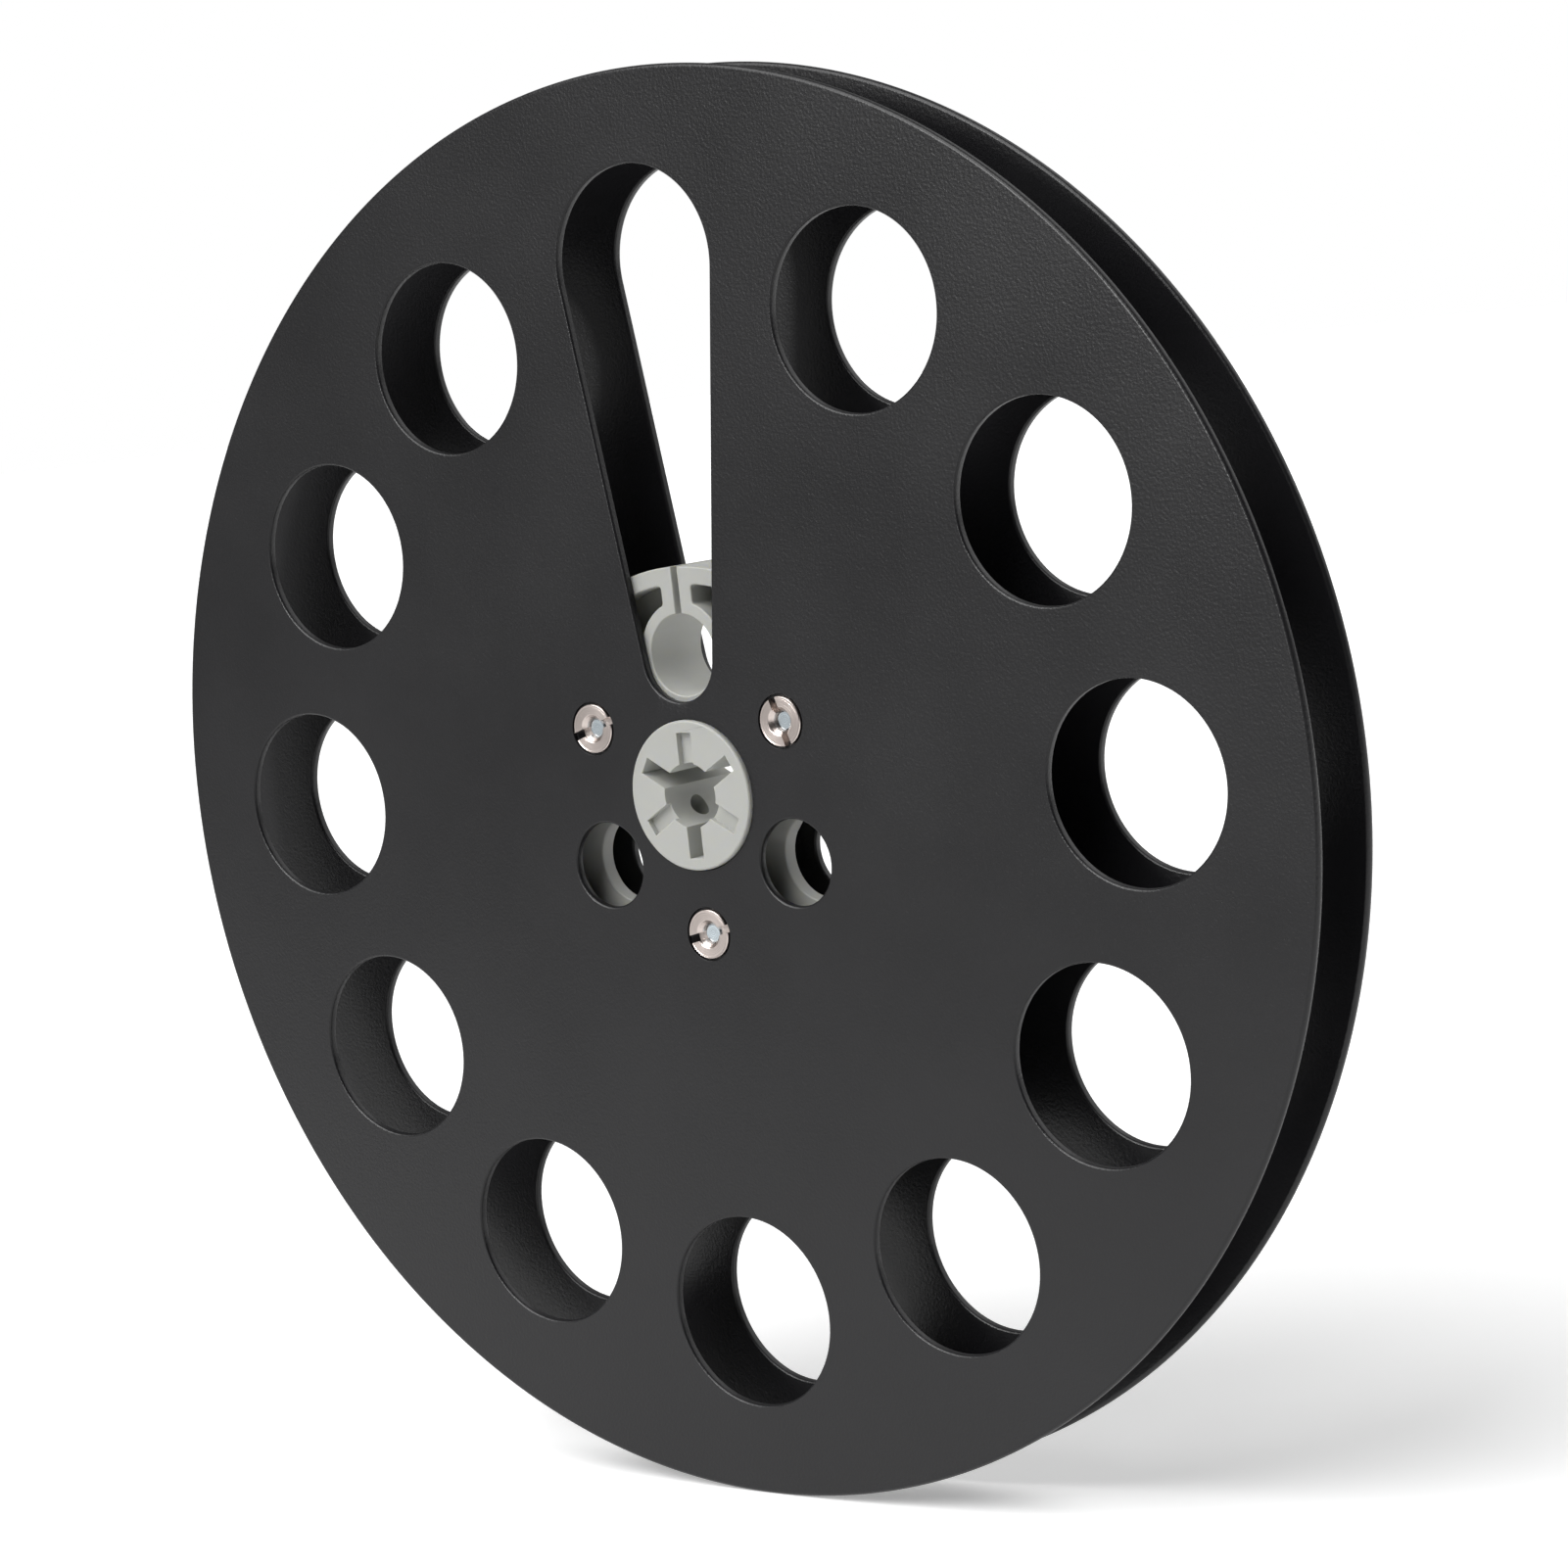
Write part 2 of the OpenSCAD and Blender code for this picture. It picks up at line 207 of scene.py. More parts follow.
class ReelFasteners(bpy.types.PropertyGroup):
    """Sizes of the sleeve nuts and clamp screws."""
    nut_rise: length("Nut rise", "How far a nut's head stands out of the plate's face", 0.1 * MM)
    nut_land: length("Nut land", "Straight edge of a nut's head above its cone", 0.6 * MM)
    nut_groove_w: length("Nut groove width", "Width of the groove between a nut's head and the plate",
                         0.3 * MM)
    nut_head_r: length("Nut head radius", "Head radius of a nut", (NUT_HIGH.x - NUT_LOW.x) / 2)
    nut_l: length("Nut length", "Length of a nut", NUT_HIGH.y - NUT_LOW.y)
    nut_sleeve_r: length("Nut sleeve radius", "Radius of a nut's sleeve", 2.2 * MM)
    nut_slot_w: length("Nut slot width", "Width of the slot across a nut", 1.0 * MM)
    nut_slot_depth: length("Nut slot depth", "Depth of that slot", 1.2 * MM)
    nut_mouth_r: length("Nut mouth radius", "Radius of the cone at a nut's mouth", 1.8 * MM)
    head_bevel: length("Head bevel", "Bevel on the edge of a nut's or screw's head", 0.1 * MM)
    thread_r: length("Thread radius", "Radius of a screw's thread", 1.25 * MM)
    thread_play: length("Thread play", "Play between the thread and the nut", 0.03 * MM)
    screw_sink: length("Screw sink", "Depth of a screw's head below the plate's face", 0.1 * MM)
    screw_land: length("Screw land", "Straight edge of a screw's head above its cone", 0.15 * MM)
    screw_groove_w: length("Screw groove width",
                           "Width of the groove between a screw's head and the plate", 0.1 * MM)
    screw_head_r: length("Screw head radius", "Head radius of a screw", (SCREW_HIGH.x - SCREW_LOW.x) / 2)
    screw_l: length("Screw length", "Length of a screw", SCREW_HIGH.y - SCREW_LOW.y)
    screw_bevel: length("Screw bevel", "Bevel on a screw's end", 0.2 * MM)
    recess_l: length("Recess length", "Length of the cross recess in a screw", 2.6 * MM)
    recess_w: length("Recess width", "Width of that recess", 0.7 * MM)
    recess_depth: length("Recess depth", "Depth of that recess", 1.0 * MM)


class ReelFinish(bpy.types.PropertyGroup):
    """Colours of the finishes and fineness of the curves."""
    plate_colour: colour("Plates", "Colour of the black anodised plates", (0.0080, 0.0078, 0.0090))
    hub_colour: colour("Hub", "Colour of the hub's plastic", (0.505, 0.510, 0.483))
    nickel_colour: colour("Nuts", "Colour of the nickel plated nuts", (0.60, 0.53, 0.495))
    zinc_colour: colour("Screws", "Colour of the zinc plated screws", (0.76, 0.85, 0.90))
    rim_segments: count("Rim segments", "Segments round a plate's rim", 360, 64)
    window_segments: count("Window segments", "Segments round a window", 120, 32)
    round_steps: count("Edge steps", "Steps in a rounded edge", 4, 1)


class ReelStage(bpy.types.PropertyGroup):
    """The camera, lights and floor."""
    lens: FloatProperty(name="Lens", description="Focal length in millimetres", default=91.28, min=10)
    camera_place: FloatVectorProperty(name="Camera place", description="Where the camera stands", size=3,
                                      default=(0.31672, -0.37766, 0.05208), subtype="TRANSLATION",
                                      unit="LENGTH")
    camera_right: direction("Camera right", "Direction to the right of the picture",
                            (0.77851, 0.61766, -0.11141))
    camera_up: direction("Camera up", "Direction to the top of the picture", (0.02056, 0.15232, 0.98812))
    ambient: strength("Ambient", "Strength of the light from all round", 0.16)
    shine: strength("Shine", "How bright shiny surfaces see the studio", 0.25)
    dim_direction: direction("Dim direction", "Side on which the studio is dim", (0.643, -0.766, 0))
    dim_side: fraction("Dim side", "How bright the studio and the floor are on their dim side", 0.1)
    key_strength: strength("Key strength", "Strength of the main lamp", 3.0)
    key_turn: turn_of("Key turn", "How far the main lamp stands to the right", -20)
    key_lift: turn_of("Key lift", "How far the main lamp stands above the floor", 50)
    key_softness: turn_of("Key softness", "How wide the main lamp looks from the reel", 55)
    back_strength: strength("Back strength", "Strength of the lamp behind", 1.0)
    back_turn: turn_of("Back turn", "How far the lamp behind is turned from the front", 150)
    back_lift: turn_of("Back lift", "How far the lamp behind stands above the floor", 42)
    back_softness: turn_of("Back softness", "How wide the lamp behind looks from the reel", 70)
    gloss_strength: strength("Gloss strength", "Strength of the lamp that only gloss shows", 1.8)
    gloss_turn: turn_of("Gloss turn", "How far that lamp stands to the right", -18)
    gloss_lift: turn_of("Gloss lift", "How far that lamp stands above the floor", 16)
    gloss_softness: turn_of("Gloss softness", "How wide that lamp looks from the reel", 14)
    floor_side: length("Floor side", "Side of the floor", 30)
    floor_glow: fraction("Floor glow", "White that the floor adds, which thins the shadow", 0.3)
    floor_colour: colour("Floor", "Colour of the floor", (0.95, 0.95, 0.95))


def in_mm(group):
    """The lengths of a property group in millimetres."""
    return SimpleNamespace(**{name: getattr(group, name) / MM for name in group.__annotations__})


# Drawing in the plane of the reel


def polar(radius, turn, z=0):
    """The point at a radius and a turn round the reel's axis."""
    return Vector((radius * cos(turn), radius * sin(turn), z))


def spin(bm, geom, centre, axis, angle, steps, closed=False):
    """Spins geometry about a point and returns what stands at the end."""
    return bmesh.ops.spin(bm, geom=geom, cent=centre, axis=axis, dvec=(0, 0, 0), angle=angle,
                          steps=steps, use_merge=closed, use_normal_flip=False,
                          use_duplicate=False)["geom_last"]


def each_once(parts):
    """Parts in the order in which they first come, without repeats."""
    return list(dict.fromkeys(parts))


def wire_of(bm):
    """The edges that have no face yet, with their vertices."""
    edges = [edge for edge in bm.edges if edge.is_wire]
    return edges + each_once(vert for edge in edges for vert in edge.verts)


def turned(section, steps):
    """Turns a section that is drawn in the plane y = 0 through a full circle about the z axis."""
    spin(section, wire_of(section), (0, 0, 0), (0, 0, 1), 2 * pi, steps, closed=True)
    return section


def join(bm, shape, centres):
    """Adds a copy of a shape at each of some centres."""
    mesh = bpy.data.meshes.new("shape")
    shape.to_mesh(mesh)
    shape.free()
    for centre in centres:
        mesh.transform(Matrix.Translation(centre))
        bm.from_mesh(mesh)
        mesh.transform(Matrix.Translation(-centre))
    bpy.data.meshes.remove(mesh)


def section_through(points, closed=False):
    """A section through points given as distances from the z axis and heights."""
    section = bmesh.new()
    verts = [section.verts.new((x, 0, z)) for x, z in points]
    for first, second in zip(verts, verts[1:] + verts[:1] if closed else verts[1:]):
        section.edges.new((first, second))
    return section


def wall_section(wall, side, top, bottom, radius, steps):
    """The section of a plate's edge: a rounded edge, the wall and another rounded edge.

    side is 1 where the plate lies outside the wall, as round a hole, and -1 at its rim.
    """
    bm = bmesh.new()
    across = Vector((wall + side * radius, 0, 0))
    over = bm.verts.new(across + Vector((0, 0, top)))
    (upper,) = spin(bm, [over], across + Vector((0, 0, top - radius)), (0, 1, 0), -side * pi / 2, steps)
    lower = bm.verts.new(across + Vector((-side * radius, 0, bottom + radius)))
    bm.edges.new((upper, lower))
    spin(bm, [lower], across + Vector((0, 0, bottom + radius)), (0, 1, 0), -side * pi / 2, steps)
    return bm


def lies_at(part, z):
    """Whether an edge or a face lies at one level."""
    return all(abs(vert.co.z - z) < FLAT_TOLERANCE for vert in part.verts)


def fill_level(bm, z):
    """Fills the flat face between the open edges at one level."""
    edges = [edge for edge in bm.edges if len(edge.link_faces) == 1 and lies_at(edge, z)]
    bmesh.ops.triangle_fill(bm, use_beauty=True, use_dissolve=False, edges=edges, normal=(0, 0, 1))


def need_closed(bm, name):
    """Raises an error where a shape isn't closed."""
    open_edges = sum(len(edge.link_faces) != 2 for edge in bm.edges)
    if open_edges:
        raise RuntimeError(f"{name} has {open_edges} open edges")


def stand_piece(name, bm, node, material):
    """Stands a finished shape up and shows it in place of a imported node."""
    need_closed(bm, name)
    bmesh.ops.recalc_face_normals(bm, faces=bm.faces)
    bm.transform(UPRIGHT)
    for face in bm.faces:
        face.smooth = True
    mesh = bpy.data.meshes.new(name)
    bm.to_mesh(mesh)
    bm.free()
    mesh.set_sharp_from_angle(angle=SHARP_ANGLE)
    mesh.materials.append(material)
    piece = bpy.data.objects.new(name, mesh)
    bpy.context.scene.collection.objects.link(piece)
    normals = piece.modifiers.new("Face weighted normals", "WEIGHTED_NORMAL")
    normals.keep_sharp = True
    normals.weight = 100
    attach(piece, BODY)
    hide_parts(node)


def carved(bm, cutter):
    """Cuts one shape out of another and returns what is left."""
    shapes = []
    for shape in (bm, cutter):
        mesh = bpy.data.meshes.new("shape")
        shape.to_mesh(mesh)
        shape.free()
        shapes.append(bpy.data.objects.new("shape", mesh))
        bpy.context.scene.collection.objects.link(shapes[-1])
    body, tool = shapes
    cut = body.modifiers.new("Cut", "BOOLEAN")
    cut.operation = "DIFFERENCE"
    cut.solver = "EXACT"
    cut.object = tool
    left = bmesh.new()
    left.from_object(body, bpy.context.evaluated_depsgraph_get())
    for shape in shapes:
        bpy.data.objects.remove(shape)
    return left


# Plates


def keyhole_wall(plates, ring_r, end_y, top, bottom, steps, segments):
    """The wall of the keyhole: round its wide end, down a flank, round its narrow end and back."""
    reach = ring_r - end_y
    lean = asin((plates.window_r - plates.keyhole_end_r) / reach)
    wide, narrow = Vector((0, ring_r, 0)), Vector((0, end_y, 0))
    bm = wall_section(plates.window_r, 1, top, bottom, plates.edge_r, steps)
    bm.transform(Matrix.Translation(wide) @ Matrix.Rotation(-lean, 4, "Z"))
    section = wire_of(bm)
    flank = (narrow - wide) + polar(plates.keyhole_end_r - plates.window_r, pi + lean)
    last = spin(bm, section, wide, (0, 0, 1), pi + 2 * lean, segments)
    last = slide(bm, last, flank)
    last = spin(bm, last, narrow, (0, 0, 1), pi - 2 * lean, segments // 2)
    slide(bm, last, Vector((flank.x, -flank.y, 0)))
    bmesh.ops.remove_doubles(bm, verts=bm.verts, dist=WELD_DISTANCE)
    return bm


def slide(bm, section, vector):
    """Extrudes a section in a straight line and returns its far end."""
    edges = [part for part in section if isinstance(part, bmesh.types.BMEdge)]
    far = bmesh.ops.extrude_edge_only(bm, edges=edges)["geom"]
    verts = [part for part in far if isinstance(part, bmesh.types.BMVert)]
    bmesh.ops.translate(bm, vec=vector, verts=verts)
    return verts + [edge for edge in each_once(edge for vert in verts for edge in vert.link_edges)
                    if all(vert in verts for vert in edge.verts)]


def seat_section(head_r, groove_w, groove_depth, outer, inner, play):
    """The section of a seat between two levels: a groove round the head, and a cone of 90 degrees."""
    inwards = 1 if outer < inner else -1
    groove_r, cone_r = head_r + groove_w, head_r + play
    groove_z = outer + inwards * groove_depth
    end_r = cone_r - abs(outer - inner) + groove_depth
    return section_through([(groove_r + play, outer), (groove_r, outer + inwards * play),
                            (groove_r, groove_z), (cone_r, groove_z), (end_r, inner)])


def plate_shape(plates, hub, finish, seat, outer, inner):
    """A pierced plate between two levels, with seats for countersunk heads in its outer face."""
    bm = bmesh.new()
    top, bottom = max(outer, inner), min(outer, inner)
    steps, segments = finish.round_steps, finish.window_segments
    middle = Vector((0, 0, 0))
    ring_r = plates.outside_r - plates.window_band - plates.window_r
    walls = (
        (plates.outside_r, -1, plates.outer_edge_r, finish.rim_segments, [middle]),
        (hub.boss_r + plates.boss_play, 1, plates.fine_edge_r, segments, [middle]),
        (plates.window_r, 1, plates.edge_r, segments, [polar(ring_r, turn) for turn in WINDOW_TURNS]),
        (plates.round_hole_r, 1, plates.edge_r, segments // 2,
         [polar(hub.tube_ring_r, turn) for turn in HOLE_TURNS]),
    )
    for wall, side, radius, turns, centres in walls:
        join(bm, turned(wall_section(wall, side, top, bottom, radius, steps), turns), centres)
    seat_shape = turned(seat_section(*seat, outer, inner, plates.seat_play), segments // 2)
    join(bm, seat_shape, [fastener_centre(number) for number in PAIRS])
    end_y = hub.tube_ring_r - plates.keyhole_inset
    join(bm, keyhole_wall(plates, ring_r, end_y, top, bottom, steps, segments), [middle])
    fill_level(bm, top)
    fill_level(bm, bottom)
    return bm


def fastener_centre(number):
    """Where a nut and its screw lie, in the plane of the reel."""
    low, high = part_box("sleeve_nut_" + number)
    return Vector(((low.x + high.x) / 2, (low.z + high.z) / 2, 0)) / MM


# Hub


def added(bm, known):
    """The edges that a bmesh has gained since they were last listed."""
    return [edge for edge in bm.edges if edge not in known]


def line(bm, a, b):
    """A straight edge between two vertices, in a list."""
    return [bm.edges.new((a, b))]


def arc(bm, a, b, centre, chord):
    """The edges of an arc from vertex a anticlockwise to vertex b."""
    centre = Vector((centre.x, centre.y, a.co.z))
    start, end = a.co - centre, b.co - centre
    angle = (atan2(end.y, end.x) - atan2(start.y, start.x)) % (2 * pi)
    steps = max(LEAST_STEPS, round(angle * start.length / chord))
    known = set(bm.edges)
    (last,) = spin(bm, [a], centre, (0, 0, 1), angle * (steps - 1) / steps, steps - 1)
    bm.edges.new((last, b))
    return added(bm, known)


def circle(bm, centre, radius, segments):
    """The edges of a full circle."""
    verts = bmesh.ops.create_circle(bm, cap_ends=False, radius=radius, segments=segments,
                                    matrix=Matrix.Translation(centre))["verts"]
    return each_once(edge for vert in verts for edge in vert.link_edges)


def placed(bm, x, y, turn, z):
    """A vertex given in a spoke's own frame, whose x axis points along the spoke."""
    return bm.verts.new(Matrix.Rotation(turn, 3, "Z") @ Vector((x, y, 0)) + Vector((0, 0, z)))


def side_arc(bm, a, b, centre, side, chord):
    """An arc beside the stem, which runs anticlockwise on its left and clockwise on its right."""
    first, second = (a, b) if side > 0 else (b, a)
    return arc(bm, first, second, Matrix.Rotation(TOP_TURN, 3, "Z") @ Vector((*centre, 0)), chord)


def stem_side(bm, hub, side, z):
    """One side of the stem: its edges, and its ends on the tube and on the rim."""
    ring, tube_r, f = hub.tube_ring_r, hub.tube_bore_r + hub.tube_wall, hub.stem_fillet_r
    half = hub.stem_w / 2
    foot_x = ring + sqrt((tube_r + f) ** 2 - (half + f) ** 2)
    touch = tube_r / (tube_r + f)
    rim_x = sqrt(hub.rim_inner_r ** 2 - (half + f) ** 2)
    points = ((ring + (foot_x - ring) * touch, (half + f) * touch), (foot_x, half), (rim_x - f, half),
              (rim_x, half + f))
    tube, low, high, rim = (placed(bm, x, side * y, TOP_TURN, z) for x, y in points)
    edges = side_arc(bm, tube, low, (foot_x, side * (half + f)), side, FINE_CHORD)
    edges += line(bm, low, high)
    edges += side_arc(bm, high, rim, (rim_x - f, side * (half + f)), side, FINE_CHORD)
    return edges, tube, rim


def draw_slit(bm, hub, z):
    """The outside of the rim, the slit in the stem and the bore of the tube, in one closed chain."""
    half = hub.slit_w / 2
    rim_y = sqrt(hub.outside_r ** 2 - half ** 2)
    bore_y = hub.tube_ring_r + sqrt(hub.tube_bore_r ** 2 - half ** 2)
    corners = ((-half, rim_y), (half, rim_y), (half, bore_y), (-half, bore_y))
    left_rim, right_rim, right_bore, left_bore = (bm.verts.new((x, y, z)) for x, y in corners)
    return (arc(bm, left_rim, right_rim, Vector((0, 0, z)), RIM_CHORD)
            + line(bm, right_rim, right_bore)
            + arc(bm, left_bore, right_bore, Vector((0, hub.tube_ring_r, z)), TUBE_CHORD)
            + line(bm, left_bore, left_rim))


def fill_region(bm, edges, region, tag):
    """Fills the area between edges and tags its faces with their region."""
    made = bmesh.ops.triangle_fill(bm, use_beauty=True, use_dissolve=False, edges=edges,
                                   normal=(0, 0, 1))
    for part in made["geom"]:
        if isinstance(part, bmesh.types.BMFace):
            part[tag] = region


def draw_body(bm, hub, z, tag):
    """Draws and fills the hub's cross-section outside the boss, and returns the boss's circle."""
    middle = Vector((0, 0, z))
    right, right_tube, right_rim = stem_side(bm, hub, -1, z)
    left, left_tube, left_rim = stem_side(bm, hub, 1, z)
    inside = left + right
    inside += arc(bm, left_tube, right_tube, Vector((0, hub.tube_ring_r, z)), TUBE_CHORD)
    inside += arc(bm, left_rim, right_rim, middle, RIM_CHORD)
    fill_region(bm, inside + draw_slit(bm, hub, z), RING, tag)
    boss_edges = circle(bm, middle, hub.boss_r, BOSS_SEGMENTS)
    web_edges = inside + boss_edges
    for turn in CLAMP_TURNS:
        centre = polar(hub.clamp_ring_r, turn, z)
        post = circle(bm, centre, hub.post_hole_r + hub.post_wall, POST_SEGMENTS)
        hole = circle(bm, centre, hub.post_hole_r, POST_HOLE_SEGMENTS)
        fill_region(bm, post + hole, RING, tag)
        web_edges += post
    for turn in HOLE_TURNS:
        web_edges += circle(bm, polar(hub.tube_ring_r, turn, z), hub.web_hole_r, WEB_HOLE_SEGMENTS)
    fill_region(bm, web_edges, WEB, tag)
    return boss_edges


def draw_boss(bm, hub, z, tag, boss_edges):
    """Draws and fills the boss's cross-section: the bore, three through slots and three blind slots."""
    middle = Vector((0, 0, z))
    half = hub.tab_slot_w / 2
    mouth_x = sqrt(hub.bore_r ** 2 - half ** 2)
    turns = sorted([(turn, True) for turn in BLIND_TURNS] + [(turn, False) for turn in CLAMP_TURNS])
    mouths = [[placed(bm, mouth_x, y, turn, z) for y in (-half, half)] for turn, blind in turns]
    face_edges = list(boss_edges)
    for i, (turn, blind) in enumerate(turns):
        right, left = mouths[i]
        right_end, left_end = (placed(bm, hub.tab_slot_end, y, turn, z) for y in (-half, half))
        slot = line(bm, right, right_end) + line(bm, right_end, left_end) + line(bm, left_end, left)
        face_edges += slot + arc(bm, left, mouths[(i + 1) % len(mouths)][0], middle, FINE_CHORD)
        if blind:
            fill_region(bm, slot + arc(bm, right, left, middle, FINE_CHORD), BLIND_SLOT, tag)
    fill_region(bm, face_edges, BOSS, tag)


def move_level(bm, tag, regions, z, new_z):
    """Extrudes the flat faces of some regions from one level to another."""
    faces = [face for face in bm.faces if face[tag] in regions and lies_at(face, z)]
    raised = bmesh.ops.extrude_face_region(bm, geom=faces)["geom"]
    verts = [part for part in raised if isinstance(part, bmesh.types.BMVert)]
    bmesh.ops.translate(bm, vec=(0, 0, new_z - z), verts=verts)
    return faces


def drop_faces(bm, faces):
    """Deletes the faces that an extrusion left inside."""
    bmesh.ops.delete(bm, geom=[face for face in faces if face.is_valid], context="FACES")


def edges_at(bm, z, wanted):
    """Edges at one level between a flat face and a wall, where wanted says so of their middle."""
    found = []
    for edge in bm.edges:
        if len(edge.link_faces) != 2 or not lies_at(edge, z):
            continue
        flat = [lies_at(face, z) for face in edge.link_faces]
        if flat[0] != flat[1] and wanted((edge.verts[0].co + edge.verts[1].co) / 2):
            found.append(edge)
    return found


def round_edges(bm, edges, radius, steps):
    """Rounds edges to a radius."""
    bmesh.ops.bevel(bm, geom=edges, offset=radius, offset_type="OFFSET", profile_type="SUPERELLIPSE",
                    segments=steps, profile=0.5, affect="EDGES", clamp_overlap=False, material=-1,
                    loop_slide=True, miter_outer="SHARP", miter_inner="SHARP")


def flat_radius(point):
    """Distance of a point from the reel's axis."""
    return sqrt(point.x ** 2 + point.y ** 2)


def in_web_hole(hub):
    """A test of whether a point lies in one of the web's holes."""
    centres = [polar(hub.tube_ring_r, turn).xy for turn in HOLE_TURNS]
    reach = hub.web_hole_r + FLAT_TOLERANCE
    return lambda point: any((point.xy - centre).length < reach for centre in centres)


def hub_shape(hub, steps):
    """The hub's moulding as one closed shape, grown to the front and the rear out of its web."""
    bm = bmesh.new()
    tag = bm.faces.layers.int.new("region")
    web, body, face = hub.web_t / 2, hub.body_face, hub.boss_face
    floor = face - hub.blind_slot_depth
    draw_boss(bm, hub, web, tag, draw_body(bm, hub, web, tag))
    move_level(bm, tag, (RING, WEB, BOSS, BLIND_SLOT), web, -web)
    growth = (
        ((RING, BOSS, BLIND_SLOT), web, body),
        ((BOSS, BLIND_SLOT), body, floor),
        ((BOSS,), floor, face),
    )
    for sign in (1, -1):
        for regions, level, new_level in growth:
            drop_faces(bm, move_level(bm, tag, regions, sign * level, sign * new_level))

    bmesh.ops.dissolve_limit(bm, angle_limit=FLAT_ANGLE, use_dissolve_boundaries=False, verts=bm.verts,
                             edges=bm.edges)
    # The middles of the slots' edges lie within this radius, and those of the boss's own edge outside it
    tip = hub.tab_slot_end + WELD_DISTANCE
    rounded = (
        (body, hub.body_edge_r, lambda point: flat_radius(point) > hub.boss_r),
        (web, hub.body_edge_r, in_web_hole(hub)),
        (face, hub.boss_edge_r, lambda point: flat_radius(point) > tip),
        (face, hub.slot_edge_r, lambda point: flat_radius(point) < tip),
    )
    for level, radius, wanted in rounded:
        round_edges(bm, edges_at(bm, level, wanted) + edges_at(bm, -level, wanted), radius, steps)
    return bm


def side_holes(hub):
    """The cutter of the radial holes in the bore's wall."""
    bm = bmesh.new()
    start, end = hub.bore_r / 2, hub.bore_r + hub.side_hole_depth
    for turn in BLIND_TURNS:
        middle = Matrix.Translation(((start + end) / 2, 0, hub.boss_face - hub.side_hole_drop))
        place = Matrix.Rotation(turn, 4, "Z") @ middle @ Matrix.Rotation(pi / 2, 4, "Y")
        bmesh.ops.create_cone(bm, cap_ends=True, cap_tris=False, segments=SIDE_HOLE_SEGMENTS,
                              radius1=hub.side_hole_r, radius2=hub.side_hole_r, depth=end - start,
                              matrix=place)
    return bm


# Fasteners


def nut_shape(fasteners, slot_turn):
    """A slotted sleeve nut, with its face at z = 0."""
    f = fasteners
    bore_r = f.thread_r + f.thread_play
    cone_z = -f.nut_land - f.nut_head_r + f.nut_sleeve_r
    points = [(f.nut_mouth_r, 0), (f.nut_head_r - f.head_bevel, 0), (f.nut_head_r, -f.head_bevel),
              (f.nut_head_r, -f.nut_land), (f.nut_sleeve_r, cone_z), (f.nut_sleeve_r, -f.nut_l),
              (bore_r, -f.nut_l), (bore_r, bore_r - f.nut_mouth_r)]
    bm = turned(section_through(points, closed=True), NUT_SEGMENTS)
    cutter = bmesh.new()
    size = Matrix.Diagonal((4 * f.nut_head_r, f.nut_slot_w, 2 * f.nut_slot_depth, 1))
    bmesh.ops.create_cube(cutter, size=1, matrix=Matrix.Rotation(slot_turn, 4, "Z") @ size)
    return carved(bm, cutter)


def screw_shape(fasteners):
    """A countersunk screw with a cross recess, with its head's face at z = 0."""
    f = fasteners
    cone_z = -f.screw_land - f.screw_head_r + f.thread_r
    points = [(0, 0), (f.screw_head_r - f.head_bevel, 0), (f.screw_head_r, -f.head_bevel),
              (f.screw_head_r, -f.screw_land), (f.thread_r, cone_z),
              (f.thread_r, f.screw_bevel - f.screw_l), (f.thread_r - f.screw_bevel, -f.screw_l),
              (0, -f.screw_l)]
    bm = turned(section_through(points), SCREW_SEGMENTS)
    bmesh.ops.remove_doubles(bm, verts=bm.verts, dist=WELD_DISTANCE)
    size = Matrix.Diagonal((f.recess_l, f.recess_w, 2 * f.recess_depth, 1))
    for turn in (0, pi / 2):
        cutter = bmesh.new()
        bmesh.ops.create_cube(cutter, size=1, matrix=Matrix.Rotation(turn, 4, "Z") @ size)
        deep = [vert for vert in cutter.verts if vert.co.z < 0]
        bmesh.ops.scale(cutter, vec=(RECESS_TAPER, RECESS_TAPER, 1), verts=deep)
        bm = carved(bm, cutter)
    return bm


# Materials


def add_node(tree, kind, place, **values):
    """A shader node at a place in its tree, with some of its fields set."""
    made = tree.nodes.new(kind)
    made.location = place
    for name, value in values.items():
        setattr(made, name, value)
    return made


def preset(made, values):
    """Sets the values of a node's own inputs."""
    for name, value in values.items():
        made.inputs[name].default_value = value


def link(tree, *routes):
    """Links nodes, each route being a node, its output, the next node and its input."""
    for start, output, end, socket in routes:
        tree.links.new(start.outputs[output], end.inputs[socket])


def new_material(name):
    """A material with only a Principled shader and its output, its node tree and that shader."""
    material = bpy.data.materials.new(name)
    material.use_nodes = True
    shader = material.node_tree.nodes["Principled BSDF"]
    return material, material.node_tree, shader


def shared(make, name):
    """The shader node group of a name, made the first time that it is asked for."""
    return bpy.data.node_groups.get(name) or make()


